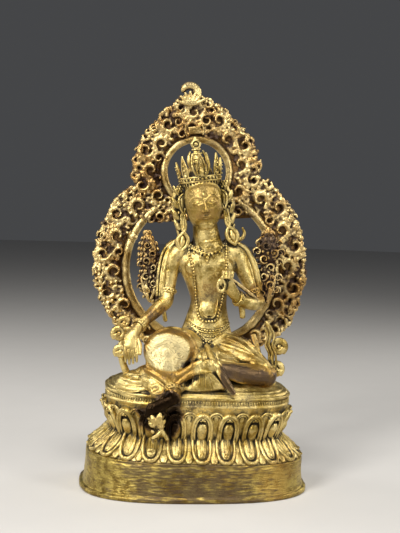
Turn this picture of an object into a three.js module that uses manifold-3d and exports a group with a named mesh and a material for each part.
// Seated bodhisattva in gilt bronze on a double-lotus plinth, with an openwork aureole behind it.
// Millimetres, +Z up, the front towards -Y. The origin is on the ground under the middle of the plinth.
import * as THREE from "three";
import { mergeVertices } from "three/addons/utils/BufferGeometryUtils.js";
import Module from "manifold-3d";

const wasm = await Module();
wasm.setup();

// Plinth: half widths of its plan at each level, and the plan's proportions.
const FOOT_HALF_WIDTH = 80.6;
const WALL_HALF_WIDTH = 76.4;
const WAIST_HALF_WIDTH = 57.5;
const RIM_HALF_WIDTH = 65.3;
const FRONT_DEPTH = 0.66; // front half depth over half width
const BACK_DEPTH = 0.55;
const FRONT_POWER = 2.7; // how square the plan's curve is
const BACK_POWER = 3.4;
const WALL_TOP = 23;
const WAIST_HEIGHT = 39;
const RIM_TOP = 68;
const SEAT_RISE = 11;
const PLAN_POINTS = 32;
const PLAN_MIDDLE_Y = (FOOT_HALF_WIDTH * (FRONT_DEPTH - BACK_DEPTH)) / 2;

// Petals round the plinth: how many fit on the whole round, and how many of them are made each side of
// the middle one. The back is plain.
const LOWER_ROW = {
  round: 24,
  eachSide: 9,
  length: 25,
  width: 14.6,
  rise: 1.8,
  boss: 2.4,
  point: -0.2,
};
const UPPER_ROW = { round: 20, eachSide: 7, length: 20, width: 15.6, rise: 1.8, boss: 2.6, point: 0 };

// Aureole: a wide round lobe behind the body, a narrower pointed one behind the head.
const AUREOLE_Y = 35;
const PLATE_THICKNESS = 3.4;
const BODY_LOBE = { z: 152, radius: 78.6 };
const BODY_RING = { z: 149.5, radius: 55, tube: 3.2 };
const HEAD_LOBE = { z: 219, radius: 47.2 };
const HEAD_RING = { z: 219.3, radius: 23.8, tube: 2.7 };
const SHOULDER_NOTCH = { x: 46.4, z: 213.4 };
const PEAK_FLANK = [[20.6, 265.6], [11.4, 271.6], [4, 276.4]];
const BODY_OPENING_TOP = 184.5;
const EDGE_KNOBS = 32;
const KNOB_RISE = 1.3;
const BEND = { from: 110, height: 175, foot: 3.3, drift: 17.5, power: 1.4 };
const TANG = { width: 24, thickness: 5, foot: 60 };
const FIT_GAP = 0.3;

// The head leans towards the figure's right hand.
const HEAD_PIVOT = new THREE.Vector3(0, 4, 178);
const HEAD_TILT = THREE.MathUtils.degToRad(10);

// The foot stands level, but all above it has settled: it is a little higher than the drawn heights
// and lower on the figure's left side.
const SETTLED = new THREE.Matrix4()
  .makeTranslation(0, 0, 2)
  .multiply(new THREE.Matrix4().makeRotationY(THREE.MathUtils.degToRad(1.4)));

const GILT = { color: 0xc9a244, metalness: 0.9, roughness: 0.36 };
const WORN_GILT = { color: 0xa97f3f, metalness: 0.85, roughness: 0.45 };
const RUBBED_GILT = { color: 0xb08d34, metalness: 0.88, roughness: 0.42 };

const at = (x, y, z) => new THREE.Vector3(x, y, z);

// Turns a closed surface into a solid that can be joined and cut, whichever way its faces point.
function solidOf(geometry) {
  const bare = new THREE.BufferGeometry();
  bare.setAttribute("position", geometry.getAttribute("position"));
  bare.setIndex(geometry.getIndex());
  const merged = mergeVertices(bare, 1e-4);
  const index = merged.getIndex().array;
  const p = merged.getAttribute("position");
  const corners = [];
  let volume = 0;
  const [a, b, c] = [at(0, 0, 0), at(0, 0, 0), at(0, 0, 0)];
  for (let i = 0; i < index.length; i += 3) {
    const [ia, ib, ic] = [index[i], index[i + 1], index[i + 2]];
    if (ia === ib || ib === ic || ic === ia) continue;
    corners.push(ia, ib, ic);
    a.fromBufferAttribute(p, ia);
    b.fromBufferAttribute(p, ib);
    c.fromBufferAttribute(p, ic);
    volume += a.dot(b.cross(c)) / 6;
  }
  if (volume < 0) corners.reverse();
  return new wasm.Manifold(
    new wasm.Mesh({ numProp: 3, vertProperties: p.array, triVerts: new Uint32Array(corners) }),
  );
}

function geometryOf(solid) {
  const mesh = solid.getMesh();
  const geometry = new THREE.BufferGeometry();
  geometry.setAttribute("position", new THREE.BufferAttribute(mesh.vertProperties, 3));
  geometry.setIndex(new THREE.BufferAttribute(mesh.triVerts, 1));
  geometry.computeVertexNormals();
  return geometry;
}

const join = (solids) => wasm.Manifold.union(solids);

// A closed body through rings of points, with a point at each end.
function loft(rings, firstTip, lastTip) {
  const count = rings[0].length;
  const points = [...rings.flat(), firstTip, lastTip];
  const first = points.length - 2;
  const last = points.length - 1;
  const lastRing = (rings.length - 1) * count;
  const index = [];
  for (let k = 0; k < count; k++) {
    const next = (k + 1) % count;
    for (let r = 0; r < lastRing; r += count) {
      index.push(r + k, r + next, r + count + next, r + k, r + count + next, r + count + k);
    }
    index.push(first, next, k, last, lastRing + k, lastRing + next);
  }
  const geometry = new THREE.BufferGeometry().setFromPoints(points);
  geometry.setIndex(index);
  return solidOf(geometry);
}

// A limb, band or cord: stations are [x, y, z, half width, half depth], and across is roughly the
// direction of the width.
function limb(stations, { sides = 8, steps = 1, across = at(1, 0, 0), blunt = 0.5 } = {}) {
  const curve = new THREE.CatmullRomCurve3(stations.map(([x, y, z]) => at(x, y, z)));
  const spans = stations.length - 1;
  const samples = spans * steps;
  const rings = [];
  const ends = [];
  for (let i = 0; i <= samples; i++) {
    const centre = curve.getPoint(i / samples);
    const along = curve.getTangent(i / samples);
    const depthways = along.clone().cross(across).normalize();
    const widthways = depthways.clone().cross(along).normalize();
    const span = Math.min(Math.floor(i / steps), spans - 1);
    const share = i / steps - span;
    const [width, depth] = [3, 4].map((k) =>
      THREE.MathUtils.lerp(stations[span][k], stations[span + 1][k], share),
    );
    const ring = [];
    for (let k = 0; k < sides; k++) {
      const turn = (2 * Math.PI * (k + 0.5)) / sides;
      ring.push(
        centre
          .clone()
          .addScaledVector(widthways, width * Math.cos(turn))
          .addScaledVector(depthways, depth * Math.sin(turn)),
      );
    }
    rings.push(ring);
    if (i === 0) ends.push(centre.clone().addScaledVector(along, -blunt * Math.min(width, depth)));
    if (i === samples) ends.push(centre.clone().addScaledVector(along, blunt * Math.min(width, depth)));
  }
  return loft(rings, ends[0], ends[1]);
}

function ball(centre, radii, wide = 8, high = 6) {
  const geometry = new THREE.SphereGeometry(1, wide, high);
  geometry.rotateX(Math.PI / 2);
  geometry.scale(radii[0], radii[1], radii[2]);
  geometry.translate(centre[0], centre[1], centre[2]);
  return solidOf(geometry);
}

// A ring of round wire, its axis along the given direction.
function hoop(centre, axis, radius, tube, around = 8, sides = 3) {
  const geometry = new THREE.TorusGeometry(radius, tube, sides, around);
  geometry.applyQuaternion(
    new THREE.Quaternion().setFromUnitVectors(at(0, 0, 1), at(...axis).normalize()),
  );
  geometry.translate(centre[0], centre[1], centre[2]);
  return solidOf(geometry);
}

// A leaf or petal that lies on a surface: root is where it springs from, along points to its tip and
// out away from the surface. It has a raised edge, a trough, and a boss in its middle.
function leaf(
  { root, along, out, length, width, rise, boss = rise, sink = 2.4, points = 6, point = 0 },
) {
  const across = along.clone().cross(out).normalize();
  const place = (u, v, h) =>
    root.clone().addScaledVector(across, u).addScaledVector(along, v).addScaledVector(out, h);
  const ring = (scale, height) =>
    Array.from({ length: points }, (_, k) => {
      const turn = (2 * Math.PI * (point > 0 ? k : k + 0.5)) / points + Math.PI;
      const tipward = -Math.cos(turn);
      const u = (width / 2) * Math.sin(turn) * (1 - point * tipward);
      return place(u * scale, length * (0.5 + 0.5 * tipward * scale), height);
    });
  return loft(
    [ring(1, -sink), ring(1, rise), ring(0.6, rise * 0.3)],
    place(0, length / 2, -sink),
    place(0, length / 2, boss),
  );
}

// The plinth's D-shaped plan at one level: curved in front, flatter behind.
function planPoint(halfWidth, turn) {
  const [c, s] = [Math.cos(turn), Math.sin(turn)];
  const front = s < 0;
  const power = 2 / (front ? FRONT_POWER : BACK_POWER);
  const depth = halfWidth * (front ? FRONT_DEPTH : BACK_DEPTH);
  return {
    x: halfWidth * Math.sign(c) * Math.abs(c) ** power,
    y: PLAN_MIDDLE_Y + depth * Math.sign(s) * Math.abs(s) ** power,
  };
}

function planRing(halfWidth, z) {
  return Array.from({ length: PLAN_POINTS }, (_, k) => {
    const { x, y } = planPoint(halfWidth, (2 * Math.PI * (k + 0.5)) / PLAN_POINTS);
    return at(x, y, z);
  });
}

// Half widths and heights of the plinth from the ground to the middle of its seat.
const plinthLevels = [
  [FOOT_HALF_WIDTH - 1, 0],
  [FOOT_HALF_WIDTH, 1],
  [FOOT_HALF_WIDTH - 0.3, 3],
  [WALL_HALF_WIDTH + 1.2, 4.2],
  [WALL_HALF_WIDTH, WALL_TOP],
  [WALL_HALF_WIDTH - 2.4, WALL_TOP + 0.8],
  [WAIST_HALF_WIDTH, WAIST_HEIGHT],
  [RIM_HALF_WIDTH - 1.6, WAIST_HEIGHT + 13],
  [RIM_HALF_WIDTH - 1, RIM_TOP - 3.4],
  [RIM_HALF_WIDTH, RIM_TOP - 2.4],
  [RIM_HALF_WIDTH, RIM_TOP - 0.4],
];
const seatLevels = [0, 0.5, 0.82].map((share, i) => [
  RIM_HALF_WIDTH * [0.985, 0.88, 0.6][i],
  RIM_TOP + SEAT_RISE * share,
]);

function plinthBody(grow = 0) {
  const rings = [...plinthLevels, ...seatLevels].map(([halfWidth, z]) => {
    const ring = planRing(halfWidth + grow, z + grow);
    return z < WALL_TOP ? ring : ring.map((point) => point.applyMatrix4(SETTLED));
  });
  const top = at(0, 0, RIM_TOP + SEAT_RISE + grow).applyMatrix4(SETTLED);
  return loft(rings, at(0, 0, grow), top);
}

const planWalk = (halfWidth, steps = 720) =>
  Array.from({ length: steps + 1 }, (_, k) => {
    const { x, y } = planPoint(halfWidth, (2 * Math.PI * k) / steps - Math.PI / 2);
    return at(x, y, 0);
  });

// Places spaced evenly along the plan at one level, counted from the middle of the front.
function placesAlong(halfWidth, { round, eachSide }) {
  const walk = planWalk(halfWidth);
  const lengths = [0];
  for (let k = 1; k < walk.length; k++) {
    lengths.push(lengths[k - 1] + walk[k].distanceTo(walk[k - 1]));
  }
  const whole = lengths.at(-1);
  const places = [];
  for (let n = -eachSide; n <= eachSide; n++) {
    const reach = ((n * whole) / round + whole) % whole;
    const k = Math.max(1, lengths.findIndex((length) => length >= reach));
    const step = walk[k].clone().sub(walk[k - 1]).normalize();
    const { x, y } = walk[k - 1].clone().addScaledVector(step, reach - lengths[k - 1]);
    places.push({ x, y, outward: at(step.y, -step.x, 0) });
  }
  return places;
}

// Where a line straight inwards from a place meets the plan of another level.
function straightInwards({ x, y, outward }, halfWidth) {
  const walk = planWalk(halfWidth);
  const aside = (point) => (point.x - x) * outward.y - (point.y - y) * outward.x;
  const crosses = (point, k) =>
    k > 0 && aside(point) * aside(walk[k - 1]) <= 0 && Math.hypot(point.x - x, point.y - y) < 40;
  const k = walk.findIndex(crosses);
  const [before, after] = [aside(walk[k - 1]), aside(walk[k])];
  return walk[k - 1].clone().lerp(walk[k], before / (before - after));
}

// One row of petals on the slope between two levels of the plinth.
function petalRow(row, [rootHalf, rootZ], [tipHalf, tipZ]) {
  return placesAlong(tipHalf, row).map((tip) => {
    const inner = straightInwards(tip, rootHalf);
    const root = at(inner.x, inner.y, rootZ);
    const along = at(tip.x, tip.y, tipZ).sub(root);
    const length = Math.min(row.length, along.length());
    along.normalize();
    const out = at(-tip.outward.y, tip.outward.x, 0).cross(along).normalize();
    if (out.dot(tip.outward) < 0) out.negate();
    return leaf(
      { root, along, out, length, width: row.width, rise: row.rise, boss: row.boss, point: row.point },
    );
  });
}

// The small lotus on its stalk that the hanging foot rests on.
function footLotus() {
  const stalk = limb(
    [
      [-26, -33, 41, 3, 3],
      [-28.5, -40.5, 45, 2.8, 2.4],
      [-31, -43, 50, 3.4, 2.8],
      [-32, -43.4, 54.5, 6.2, 4],
    ],
    { sides: 8, blunt: 0.2 },
  );
  const petals = [-52, 0, 52].map((degrees) => {
    const turn = THREE.MathUtils.degToRad(degrees);
    return leaf({
      root: at(-31, -45, 44),
      along: at(Math.sin(turn), -0.12, Math.cos(turn)).normalize(),
      out: at(0, -1, 0),
      length: 10,
      width: 4.4,
      rise: 0.8,
      sink: 2.4,
      points: 6,
    });
  });
  return [stalk, ...petals];
}

function tangSlot() {
  const slot = new THREE.BoxGeometry(TANG.width + 2 * FIT_GAP, TANG.thickness + 2 * FIT_GAP, 40);
  slot.translate(sway(TANG.foot), AUREOLE_Y, TANG.foot + 20 - FIT_GAP);
  return solidOf(slot);
}

function lotusPlinth() {
  const lower = petalRow(
    LOWER_ROW,
    [WAIST_HALF_WIDTH - 0.5, WAIST_HEIGHT - 0.6],
    [WALL_HALF_WIDTH - 1, WALL_TOP + 0.6],
  );
  const upper = petalRow(
    UPPER_ROW,
    [WAIST_HALF_WIDTH + 0.5, WAIST_HEIGHT + 0.4],
    [RIM_HALF_WIDTH + 1.2, WAIST_HEIGHT + 17],
  );
  const carving = join([...lower, ...upper, ...footLotus()]).transform(SETTLED.elements);
  return plinthBody().add(carving).subtract(tangSlot().transform(SETTLED.elements));
}

// The trunk from the seat to under the chin, in one sweep.
const trunk = [
  [5, 9, 72, 25, 18],
  [5, 8.5, 84, 26, 18.5],
  [4.6, 8, 96, 23, 17],
  [4.5, 7.5, 107, 18, 13.5],
  [4.7, 7, 117, 15, 11.3],
  [4.9, 7, 128, 12.8, 10],
  [4, 7, 140, 15.5, 11.3],
  [3, 7, 150, 19.5, 12],
  [2, 7.5, 158, 21.5, 11],
  [1.3, 8, 164, 17.5, 9.4],
  [0.6, 7.5, 169, 10.6, 8.8],
  [0, 6, 175, 9, 8.4],
  [-1.5, 4.5, 184, 8.4, 8.2],
];

// A bracelet: the limb swells out sharply between two places and is thin again beyond them.
function band([x0, y0, z0], [x1, y1, z1], thin) {
  const thick = thin + 1.3;
  const beyond = (share, radius) => [
    THREE.MathUtils.lerp(x0, x1, share),
    THREE.MathUtils.lerp(y0, y1, share),
    THREE.MathUtils.lerp(z0, z1, share),
    radius,
    radius,
  ];
  return [beyond(-0.3, thin), beyond(0, thick), beyond(1, thick), beyond(1.3, thin)];
}

// The figure's right arm, on the viewer's left, reaches down over the knee with the palm turned out.
const rightArm = [
  [-12, 8, 164.4, 5.6, 5.6],
  [-19.4, 7, 160.4, 6.8, 6.8],
  [-22.8, 7, 150, 5.7, 5.7],
  ...band([-24.7, 6.2, 135.5], [-24.9, 5.4, 132.5], 5.1),
  [-26, 2, 127, 5.2, 5.2],
  [-35, -9, 119.6, 4.7, 4.5],
  ...band([-43, -17.6, 113.2], [-45.6, -20.4, 111], 3.6),
  [-50, -28, 105, 5, 3.1],
  [-50.5, -31.5, 98.5, 5.3, 2.5],
];
// The left arm is bent, with the hand raised before the breast.
const leftArm = [
  [14, 8, 165, 5.6, 5.6],
  [23.5, 7, 161, 6.8, 6.8],
  [29, 7, 150, 5.7, 5.7],
  ...band([36, 5.8, 138], [37.6, 5.2, 135], 4.9),
  [40, 3.5, 129.6, 4.9, 4.9],
  [31.5, -6, 129, 4.5, 4.4],
  ...band([24.6, -11.2, 131.2], [22, -12.8, 132.6], 3.5),
  [16, -17, 140.5, 4.7, 3.1],
  [13.2, -18.6, 147, 4.5, 2.4],
];

// The leg that hangs: thigh towards the viewer, then the shin down over the rim, then the foot.
const hangingThigh = [
  [-5, 7, 92, 15.5, 15],
  [-15, -6, 94, 16.4, 15.6],
  [-22.5, -17, 95.4, 17.4, 15.2],
  [-25, -24.6, 95.4, 15.6, 13.4],
  [-26, -29, 95, 10, 8],
];
const hangingShin = [
  [-26, -25, 92, 14, 11],
  [-25.4, -29.4, 84.6, 10.4, 9],
  [-23.4, -33.6, 77.6, 7.2, 6.6],
  [-21.4, -38, 71.6, 5.2, 5],
  [-20.2, -42, 68.4, 4.2, 4.2],
];
const hangingFoot = [
  [-18.6, -42, 67, 3.8, 3.6],
  [-25, -43.6, 64.6, 4.1, 4],
  [-31.6, -44.4, 61, 3.6, 4],
  [-37.4, -44.8, 57.8, 2.2, 3.2],
];
const foldedThigh = [
  [9, 8, 91, 15, 13],
  [21, 0, 91, 14, 12.4],
  [33, -6, 87, 12, 10.8],
  [42, -11, 81.6, 9.6, 9],
  [47, -14, 79, 7.4, 7.2],
];
const foldedShin = [
  [46.4, -15, 79, 7.4, 7],
  [36, -20, 81, 7.4, 6.8],
  [24, -25, 83, 6.8, 5.8],
  [12, -29, 86, 5.4, 4.6],
  [2, -32, 88.4, 4.3, 3.8],
  [-5, -34, 87, 4.6, 3.2],
  [-13, -36, 82.4, 4.4, 2.6],
  [-21, -37, 78, 3.6, 2],
];

// Fingers: each is a short limb, spread evenly from one knuckle to the other.
function fingers(firstKnuckle, lastKnuckle, bends, radius, count = 4) {
  return Array.from({ length: count }, (_, n) => {
    const knuckle = at(...firstKnuckle).lerp(at(...lastKnuckle), n / (count - 1));
    const stretch = 1 - 0.1 * Math.abs(n - 1.2);
    const stations = bends.map(([x, y, z]) => [
      knuckle.x + x * stretch,
      knuckle.y + y * stretch,
      knuckle.z + z * stretch,
      radius,
      radius,
    ]);
    return limb(stations, { sides: 4 });
  });
}

function hands() {
  const lowered = fingers(
    [-54.3, -31.6, 99.5],
    [-46.7, -31.6, 99.5],
    [[0, 0, 0], [0.4, -1.6, -7], [1.2, -1.8, -14.5]],
    1.35,
  );
  const raised = fingers(
    [10.6, -19, 147],
    [16.6, -18.4, 147],
    [[0, 0.4, -1], [0, -1.8, 5.2], [0.2, -5, 5]],
    1.35,
  );
  return [
    ...lowered,
    ...raised,
    limb(
      [[-46.4, -28, 104.5, 1.7, 1.7], [-44.4, -31.4, 100, 1.5, 1.5], [-44.2, -33.4, 94.5, 1.2, 1.2]],
      { sides: 5 },
    ),
    limb(
      [[12, -17, 138.5, 1.8, 1.8], [9, -21, 142.6, 1.5, 1.5], [9.6, -24, 147.4, 1.3, 1.3]],
      { sides: 5 },
    ),
  ];
}

function garment() {
  const girdle = [
    [-13, 9, 111], [-8.6, -3.4, 106.6], [2.6, -8.8, 101], [14.6, -4.2, 105], [20, 8, 108.4],
  ];
  const hem = [[-15, -35, 73], [-9, -36.2, 80.4], [-1, -36.6, 83], [8, -36.8, 79], [16, -37.4, 71]];
  return [
    // the cloth between the thighs, and where it lies in folds on the seat beside the hanging leg
    ball([4, -9, 85], [21, 19, 12.5], 10, 6),
    ball([-38, -17, 70.4], [21.4, 15, 12], 9, 6),
    limb([[-25.5, -27, 90, 14, 9], [-26, -33, 79, 12.6, 6.4], [-23, -38, 70, 10, 3.4]], { sides: 7 }),
    limb(girdle.map((point) => [...point, 2.2, 2.2]), { sides: 4, across: at(0, 1, 0.3) }),
    ball([2.6, -11, 99.6], [2.9, 2.4, 3.2], 6, 4),
    // the sash falls over the lap and its end lies on the seat
    limb(
      [
        [3, -12, 99, 2.6, 1.2], [4.6, -24, 94.6, 3.2, 1.6], [8, -33, 88.4, 3.4, 1.7],
        [15, -37, 77.4, 3.2, 1.7], [20, -38.6, 71, 1.4, 1],
      ],
      { sides: 5 },
    ),
    limb(hem.map((point) => [...point, 1.9, 1.9]), { sides: 4, across: at(0, 1, 0) }),
    limb([[0, -31, 82, 8, 4], [1, -35, 73, 15, 2.8]]),
    limb([[36.6, -1, 106, 2.2, 1.2], [39.4, -4, 98, 2.2, 1.2], [41.4, -8, 89, 2, 1.2]], { sides: 6 }),
  ];
}

// The scarf lies over both shoulders and falls along the upper arms.
function scarf() {
  const flat = { sides: 4, across: at(0.3, -1, 0) };
  return [
    limb(
      [
        [-14, 9.4, 170, 3.4, 2], [-25, 8.4, 165.6, 5, 2.4], [-29, 6.4, 148, 5, 2.2],
        [-29.4, 4, 131, 3.8, 1.9], [-25.4, 2, 113.6, 1.8, 1.4],
      ],
      flat,
    ),
    limb(
      [
        [15, 10, 171, 3.4, 2], [27.4, 9, 167, 5.2, 2.4], [34, 6.8, 156, 5.4, 2.2],
        [39.4, 4, 138, 3.8, 1.8],
      ],
      flat,
    ),
    limb(
      [[21, 10, 171, 1.8, 1.8], [27, 10.4, 174.6, 1.7, 1.7], [26.4, 10.4, 181, 0.9, 0.9]],
      { sides: 4, across: at(0, 1, 0) },
    ),
    limb([[26.4, -7, 129, 2.6, 1.7], [28, -5, 119, 2, 1.4]], { sides: 4 }),
  ];
}

function jewellery() {
  const chain = [
    [-12.4, -2.6, 167.5], [-10.6, -4.6, 156], [-7.8, -4.6, 143.6], [-5.4, -3, 130], [-3.6, -4, 119.4],
    [3, -4.9, 115.9], [10.2, -4, 119.8], [13.4, -3.4, 132], [14.6, -4.4, 147], [11.4, -1.4, 170],
  ];
  const collar = [
    [-12.6, 3, 171], [-8, -2.6, 166.8], [-0.4, -4.6, 164.2], [7.2, -2.4, 167.4], [11.4, 3.4, 172],
  ];
  return [
    limb(chain.map((point) => [...point, 1.5, 1.5]), { sides: 3, across: at(0, 1, 0.2) }),
    limb(collar.map((point) => [...point, 2.2, 2]), { sides: 4, across: at(0, 0.3, 1) }),
    ball([-0.5, -5.6, 161.4], [2.2, 1.8, 2.8], 5, 4),
  ];
}

// Scarf ends that curl up from the seat at both sides.
function ribbons() {
  const flat = { sides: 5, across: at(0, 1, 0) };
  return [
    hoop([-54.7, -15, 113], [0, 1, 0], 2.8, 1.6),
    hoop([-58, -15, 105.2], [0, 1, 0], 3.6, 1.8),
    limb(
      [[-44.5, -19.5, 110, 1.8, 1.8], [-54.6, -15, 108.8, 1.8, 1.8]],
      { sides: 5, across: at(0, 0, 1) },
    ),
    limb(
      [
        [-55.8, -15, 101.4, 2.6, 1.7], [-57.2, -15, 94.5, 3.4, 2.4], [-54, -14, 84, 3.6, 2.8],
        [-48, -12, 71, 3.4, 3],
      ],
      flat,
    ),
    limb(
      [
        [45.4, -3, 116, 1.8, 1.2], [48.8, -4, 108, 2.4, 1.6], [47.4, -4, 101, 2.6, 1.8],
        [50.4, -4, 94, 2.8, 2], [50, -5, 86, 3, 2.2], [51.6, -6, 73, 3.4, 2.8],
      ],
      flat,
    ),
    hoop([55, -4, 99], [0, 1, 0], 3.9, 1.8),
    hoop([54, -5, 83], [0, 1, 0], 3.5, 1.8),
    limb([[45, -12, 84, 2.4, 2.4], [52, -6, 85, 2.4, 2.4]], { sides: 5, across: at(0, 0, 1) }),
  ];
}

// A tall flower by each shoulder: a leafy bulb, a ruff, and a tapering heart.
function flowers() {
  const stem = { sides: 4, across: at(0, 0, 1) };
  return [
    limb(
      [
        [-33, 9, 124.6, 2, 2], [-36.4, 10, 132, 6, 4], [-38, 10, 141, 8, 5.4],
        [-38, 10, 148.4, 5.8, 4.6], [-38.4, 10, 154, 8.4, 6], [-39.2, 10, 163, 6.6, 5],
        [-41.4, 10, 175.6, 1.8, 1.8],
      ],
      { sides: 6 },
    ),
    limb([[-25, 5, 129, 2, 2], [-34, 9.4, 126.4, 2, 2]], stem),
    limb(
      [
        [43.6, 9, 127.6, 2.2, 2.2], [45, 10, 135, 7, 4.5], [45.8, 10, 145, 9.4, 5.6],
        [46, 10, 155, 6.6, 4.8], [46, 10, 162, 10.2, 6.4], [46, 10, 169, 10.2, 6.2],
        [45.2, 10, 182, 3, 2.8],
      ],
      { sides: 6 },
    ),
    limb(
      [
        [16.4, -17, 146, 1.5, 1.5], [23, -12, 142, 1.6, 1.6], [39.4, -0.6, 130.6, 1.8, 1.8],
        [44, 7, 128.4, 1.8, 1.8],
      ],
      stem,
    ),
  ];
}

// Head, crown and ear ornaments, modelled upright round the pivot and then leant over.
function head() {
  const leaves = [0, 42, -42, 80, -80].map((degrees) => {
    const turn = THREE.MathUtils.degToRad(degrees);
    const outward = at(Math.sin(turn), -Math.cos(turn), 0);
    const size = { 0: [18.5, 9.6], 42: [13.6, 6.8], 80: [9, 5.2] }[Math.abs(degrees)];
    return leaf({
      root: outward.clone().multiplyScalar(13.4).add(at(0, 0.5, degrees % 80 ? 38 : 36)),
      along: at(outward.x * 0.17, outward.y * 0.17, 1).normalize(),
      out: outward,
      length: size[0],
      width: size[1],
      rise: 0.7,
      boss: 1.3,
      sink: 1,
      point: 0.3,
    });
  });
  const sideways = [-1, 1].flatMap((s) => [
    limb(
      [
        [s * 12.6, 1, 27, 2.4, 3.4], [s * 15.4, 0.4, 19, 3, 3.4], [s * 16.2, 0, 11, 2.4, 2.6],
        [s * 16.8, -1, 3, 2, 2],
      ],
      { sides: 5 },
    ),
    hoop([s * 17.4, -1.6, -2.6], [0, 1, 0], 3.9, 2.2, 7),
    limb([[s * 17.6, -1.6, -5.6, 3, 2], [s * 19.4, -2, -11, 1, 1]], { sides: 5 }),
    limb(
      [
        [s * 12.4, 3, 34, 2.6, 3], [s * 19, 4, 27, 3.8, 3.4], [s * 21, 4, 16, 4.4, 3.6],
        [s * 19.6, 4, 5, 4, 3.4], [s * 17, 5, -9, 3, 3],
      ],
      { sides: 5 },
    ),
    limb(
      [[s * 4.6, 2.5, 43, 1.6, 1.6], [s * 5.6, 2.5, 49, 2, 2], [s * 4.8, 2.5, 54, 1.2, 1.2]],
      { sides: 4 },
    ),
  ]);
  const parts = [
    // face and skull
    limb(
      [
        [0, -4.2, 3.4, 6.2, 5.4], [0, -2.9, 6.4, 9.6, 9.2], [0, -1.2, 12.4, 12.3, 12.6],
        [0, 0, 22, 13.2, 13.8], [0, 0.5, 33, 12.6, 13.4], [0, 1, 40, 9.6, 11],
      ],
      { sides: 9 },
    ),
    // nose
    limb([[0, -12.6, 20.4, 0.9, 0.9], [0, -14.2, 13.8, 1.7, 1.3]], { sides: 5 }),
    // crown band
    limb(
      [[0, 0.6, 34.4, 13.4, 14.2], [0, 0.6, 36.6, 14.7, 15.5], [0, 0.6, 39.4, 14, 14.8]],
      { sides: 10, blunt: 0 },
    ),
    // the piled-up hair, and the jewel on it
    limb(
      [
        [0, 2.5, 38, 8.8, 8.8], [0, 2.5, 46, 5, 5], [0, 2.5, 53, 4.8, 4.8], [0, 2.5, 57, 2.4, 2.4],
        [0, 2.5, 60.6, 3.8, 3.2], [0, 2.5, 64, 2.4, 2.2],
      ],
      { sides: 6, blunt: 0.7 },
    ),
    ...leaves,
    ...sideways,
  ];
  const lean = new THREE.Matrix4()
    .makeTranslation(HEAD_PIVOT)
    .multiply(new THREE.Matrix4().makeRotationY(-HEAD_TILT));
  return join(parts).transform(lean.elements);
}

function figure() {
  const limbs = [
    limb(trunk, { sides: 9 }),
    limb(rightArm, { sides: 6 }),
    limb(leftArm, { sides: 6, across: at(0, -0.6, 1) }),
    limb(hangingThigh, { sides: 8 }),
    limb(hangingShin, { sides: 7 }),
    limb(hangingFoot, { sides: 6, across: at(0, 0, 1) }),
    limb(foldedThigh, { sides: 8, across: at(0, 0, 1) }),
    limb(foldedShin, { sides: 6, across: at(0, 0, 1) }),
    ball([-5.6, -1, 152], [8.4, 3.8, 7], 7, 5),
    ball([12, -1, 152.6], [8.4, 3.8, 7], 7, 5),
  ];
  return join([
    ...limbs,
    ...hands(),
    ...garment(),
    ...scarf(),
    ...jewellery(),
    ...ribbons(),
    ...flowers(),
    head(),
  ])
    .transform(SETTLED.elements)
    .subtract(plinthBody(FIT_GAP));
}

// The aureole isn't quite upright: it bends over towards the figure's right, more so higher up.
const bendShare = (z) => THREE.MathUtils.clamp((z - BEND.from) / BEND.height, 0, 1);
const sway = (z) => BEND.foot - BEND.drift * bendShare(z) ** BEND.power;
const swaySlope = (z) => -((BEND.drift * BEND.power) / BEND.height) * bendShare(z) ** (BEND.power - 1);

// The outline from the foot of the wide lobe up to the tip and down again, cut into small knobs.
function aureoleOutline() {
  const arc = ({ z, radius }, fromDegrees, toDegrees, steps) =>
    Array.from({ length: steps }, (_, k) => {
      const turn = THREE.MathUtils.degToRad(
        THREE.MathUtils.lerp(fromDegrees, toDegrees, k / (steps - 1)),
      );
      // below the band's widest part the outline is drawn in a little
      const drawnIn = THREE.MathUtils.smoothstep(-turn, 0.6, 1.2) * 0.13;
      return at(
        radius * (1 - drawnIn) * Math.cos(turn),
        0,
        z + radius * (1 - drawnIn) * Math.sin(turn),
      );
    });
  const half = [
    ...arc(BODY_LOBE, -84, 48, 16),
    at(SHOULDER_NOTCH.x, 0, SHOULDER_NOTCH.z),
    ...arc(HEAD_LOBE, -2, 48, 7),
    ...PEAK_FLANK.map(([x, z]) => at(x, 0, z)),
  ];
  const mirrored = half.map(({ x, z }) => at(-x, 0, z)).reverse();
  const route = new THREE.CatmullRomCurve3([...half, ...mirrored], true, "centripetal");
  const middle = at(0, 0, BODY_LOBE.z + 20);
  return route.getSpacedPoints(EDGE_KNOBS * 3).slice(1).map((point, k) => {
    const outward = point.clone().sub(middle).normalize();
    const { x, z } = point.addScaledVector(outward, k % 3 ? KNOB_RISE * 0.7 : -KNOB_RISE);
    return [x, z];
  });
}

// A flat slab of the given outline, standing upright in the aureole's plane.
function slab(outline, thickness) {
  const shape = new THREE.Shape(outline.map(([x, z]) => new THREE.Vector2(x, z)));
  const geometry = new THREE.ExtrudeGeometry(
    shape,
    { depth: thickness, bevelEnabled: false, steps: 1 },
  );
  geometry.rotateX(Math.PI / 2);
  geometry.translate(0, AUREOLE_Y + thickness / 2, 0);
  return solidOf(geometry);
}

const circle = (centreZ, radius, points) =>
  Array.from({ length: points }, (_, k) => {
    const turn = (2 * Math.PI * (k + 0.5)) / points;
    return [radius * Math.cos(turn), centreZ + radius * Math.sin(turn)];
  });

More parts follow.
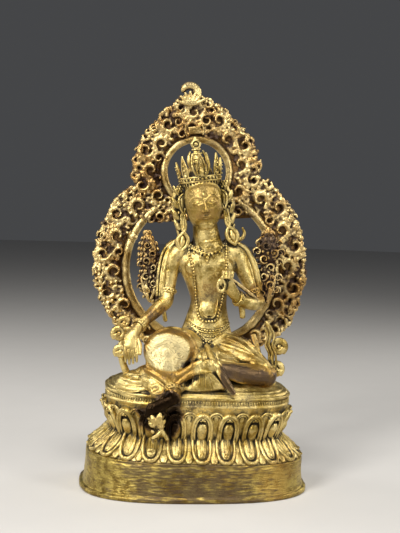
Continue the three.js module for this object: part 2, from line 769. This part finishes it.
// A scroll: a ridge with a sharp crest that winds inwards from the band's edge.
function scroll([x, z], radius, start, winding) {
  const stations = 4;
  const rings = Array.from({ length: stations }, (_, i) => {
    const share = i / (stations - 1);
    const turn = start + winding * share * 1.55 * Math.PI;
    const reach = radius * (1 - 0.62 * share);
    const half = radius * 0.3 * (1 - 0.3 * share);
    const point = (r, y) => at(x + r * Math.cos(turn), y, z + r * Math.sin(turn));
    const back = AUREOLE_Y + PLATE_THICKNESS * 0.2;
    return [
      point(reach + half, back),
      point(reach, AUREOLE_Y - 5.6 - 0.6 * share),
      point(reach - half, back),
    ];
  });
  const middle = (ring) => ring[0].clone().add(ring[2]).multiplyScalar(0.5);
  return loft(rings, middle(rings[0]), middle(rings[stations - 1]));
}

// Scrolls follow one another round a lobe on both sides, mirrored, in and out by turns.
function scrollsRound({ z }, radius, fromDegrees, toDegrees, count, size) {
  const made = [];
  for (let n = 0; n < count; n++) {
    const turn = THREE.MathUtils.degToRad(
      THREE.MathUtils.lerp(fromDegrees, toDegrees, n / (count - 1)),
    );
    const reach = radius + (n % 2 ? 3.6 : -3.6);
    const start = turn + Math.PI * (n % 2 ? 0.9 : 1.5);
    const [x, height] = [reach * Math.cos(turn), z + reach * Math.sin(turn)];
    made.push(scroll([x, height], size, start, 1));
    made.push(scroll([-x, height], size, Math.PI - start, -1));
  }
  return made;
}

// The wide opening behind the body is closed over at the top, where it meets the ring behind the head.
function bodyOpening(radius, thickness) {
  const rounded = circle(BODY_RING.z, radius, 32).map(([x, z]) => [x, Math.min(z, BODY_OPENING_TOP)]);
  return slab(rounded, thickness);
}

function aureole() {
  const headOpening = slab(circle(HEAD_RING.z, HEAD_RING.radius - 1, 24), 30);
  const ringAt = ({ z, radius, tube }, around) => hoop(
    [0, AUREOLE_Y - 1.4, z],
    [0, 1, 0],
    radius,
    tube,
    around,
    4,
  );
  const bodyRing = ringAt(BODY_RING, 32).subtract(slab(circle(HEAD_RING.z, 40, 12), 30));
  const plate = slab(aureoleOutline(), PLATE_THICKNESS)
    .subtract(bodyOpening(BODY_RING.radius - 1.2, 20))
    .subtract(headOpening);
  const scrolls = [
    ...scrollsRound(BODY_LOBE, 68, -52, 46, 9, 6.2),
    ...scrollsRound(HEAD_LOBE, 36.6, -28, 62, 6, 5.6),
    ...[-1, 1].map((s) => scroll([s * 5, 261], 5.4, Math.PI / 2, s)),
  ];
  const tip = limb(
    [
      [0, 264, 4.6], [2, 272, 4], [2.6, 278, 2.8], [1, 282.4, 2.1], [-2.4, 283.2, 1.8],
      [-4.6, 280.6, 1.2],
    ].map(([x, z, r]) => [
      x,
      AUREOLE_Y,
      z,
      r,
      Math.min(r, 2.2),
    ]),
    { sides: 6, across: at(0, 1, 0) },
  );
  const tang = new THREE.BoxGeometry(TANG.width, TANG.thickness, 96 - TANG.foot);
  tang.translate(0, AUREOLE_Y, (96 + TANG.foot) / 2);
  const upright = join([plate, ringAt(HEAD_RING, 24), bodyRing, ...scrolls, tip, solidOf(tang)]);
  const bent = upright.warp((point) => {
    const [x, , z] = point;
    point[0] += sway(z);
    point[2] -= x * swaySlope(z);
  });
  return bent.transform(SETTLED.elements);
}

function piece(name, solid, finish) {
  const mesh = new THREE.Mesh(geometryOf(solid), new THREE.MeshStandardMaterial(finish));
  mesh.name = name;
  return mesh;
}

const work = new THREE.Group();
work.add(
  piece("lotus_plinth", lotusPlinth(), RUBBED_GILT),
  piece("figure", figure(), GILT),
  piece("aureole", aureole(), WORN_GILT),
);

export default work;
